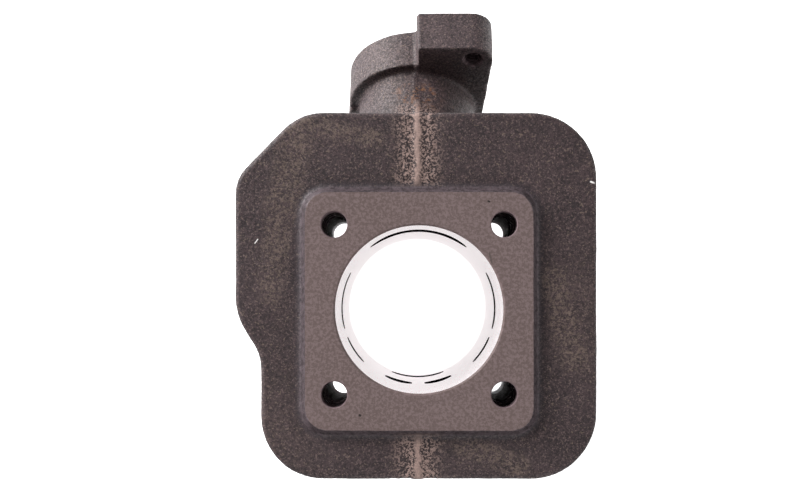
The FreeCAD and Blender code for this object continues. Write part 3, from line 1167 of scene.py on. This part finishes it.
def makeDowels():
    low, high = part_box(dowelNames[0])
    x, y = dowelPlaces[0].x, dowelPlaces[0].y
    steps, past = dowel["segments"], dowel["overlap"]
    tube = addRod("baseDowelLeft", dowelRadius, (x, y, low.z), (x, y, high.z), steps)
    way = addRod("dowelWay", studRadius, (x, y, low.z - past), (x, y, high.z + past), steps)
    cutAway(tube, way)
    applied(tube, "BEVEL", width=dowel["edge"], segments=dowel["bevelSteps"], limit_method="ANGLE",
            angle_limit=math.radians(50))
    tube.data.materials.clear()
    tube.data.materials.append(groundSteel)
    pickOnly(tube)
    bpy.ops.object.shade_smooth_by_angle(angle=math.radians(30))
    twin = copyOf(tube, "baseDowelRight")
    twin.data = twin.data.copy()
    twin.location = dowelPlaces[1] - dowelPlaces[0]
    pickOnly(twin)
    bpy.ops.object.transform_apply(location=True, rotation=True, scale=True)
    for piece, name in ((tube, dowelNames[0]), (twin, dowelNames[1])):
        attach(piece, "root")
        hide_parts(name)


makeDowels()
print("dowels made")


# floor, camera and light

studio = {
    "floorSize": 3.0,
    "floorDark": (0.88, 0.88, 0.88, 1),
    "floorLight": (0.94, 0.94, 0.94, 1),
    "floorGlow": 0.85,
    "worldLight": 0.09,
    "cameraPlace": (-2.57 * mm, 3.49 * mm, headZ + 397 * mm),
    "lens": 64.035,
    "sensor": 36,
    "shift": (-0.0125, 0.05875),
    "clipStart": 10 * mm,
    "aim": (0, 0, 30 * mm),
    # place, size and power of each light
    "backLeftLight": ((-0.85, 0.65, 0.4), 0.9, 33),
    "rightLight": ((1.0, 0.15, 0.35), 0.5, 4),
    "frontLight": ((0.15, -0.85, 0.75), 0.7, 7),
}


def makeFloor():
    bpy.ops.object.select_all(action="DESELECT")
    bpy.ops.mesh.primitive_plane_add(size=studio["floorSize"], location=(0, 0, linerLow.z))
    floor = settle("floor")
    material, tree, shader, where = startMaterial("paleFloor")
    paper = noiseOf(tree, where, 0.3, 3.0, 0.5)
    tree.links.new(mixed(tree, paper, studio["floorDark"], studio["floorLight"]),
                   shader.inputs["Base Color"])
    shader.inputs["Roughness"].default_value = 0.9
    shader.inputs["Emission Color"].default_value = (1, 1, 1, 1)
    shader.inputs["Emission Strength"].default_value = studio["floorGlow"]
    floor.data.materials.append(material)


def makeCamera():
    camera = bpy.data.objects.new("camera", bpy.data.cameras.new("camera"))
    bpy.context.scene.collection.objects.link(camera)
    camera.location = studio["cameraPlace"]
    camera.data.lens = studio["lens"]
    camera.data.sensor_width = studio["sensor"]
    camera.data.shift_x, camera.data.shift_y = studio["shift"]
    camera.data.clip_start = studio["clipStart"]
    bpy.context.scene.camera = camera


def addSoftLight(name):
    place, size, power = studio[name]
    light = bpy.data.objects.new(name, bpy.data.lights.new(name, "AREA"))
    bpy.context.scene.collection.objects.link(light)
    light.location = place
    light.data.size = size
    light.data.energy = power
    direction = Vector(studio["aim"]) - Vector(place)
    light.rotation_euler = direction.to_track_quat("-Z", "Y").to_euler()


def makeWorld():
    # the studio's backdrop: white where it is seen, and only a dim light on the part
    world = bpy.data.worlds.new("studio")
    bpy.context.scene.world = world
    world.use_nodes = True
    sky = world.node_tree
    seen = sky.nodes.new("ShaderNodeLightPath").outputs["Is Camera Ray"]
    brightness = addNode(sky, "MapRange", {"Value": seen, "To Min": studio["worldLight"]})
    sky.links.new(brightness.outputs["Result"], sky.nodes["Background"].inputs["Strength"])
    sky.nodes["Background"].inputs["Color"].default_value = (1, 1, 1, 1)


makeFloor()
makeCamera()
addSoftLight("backLeftLight")
addSoftLight("rightLight")
addSoftLight("frontLight")
makeWorld()
bpy.context.scene.view_settings.view_transform = "Standard"
print("studio set")
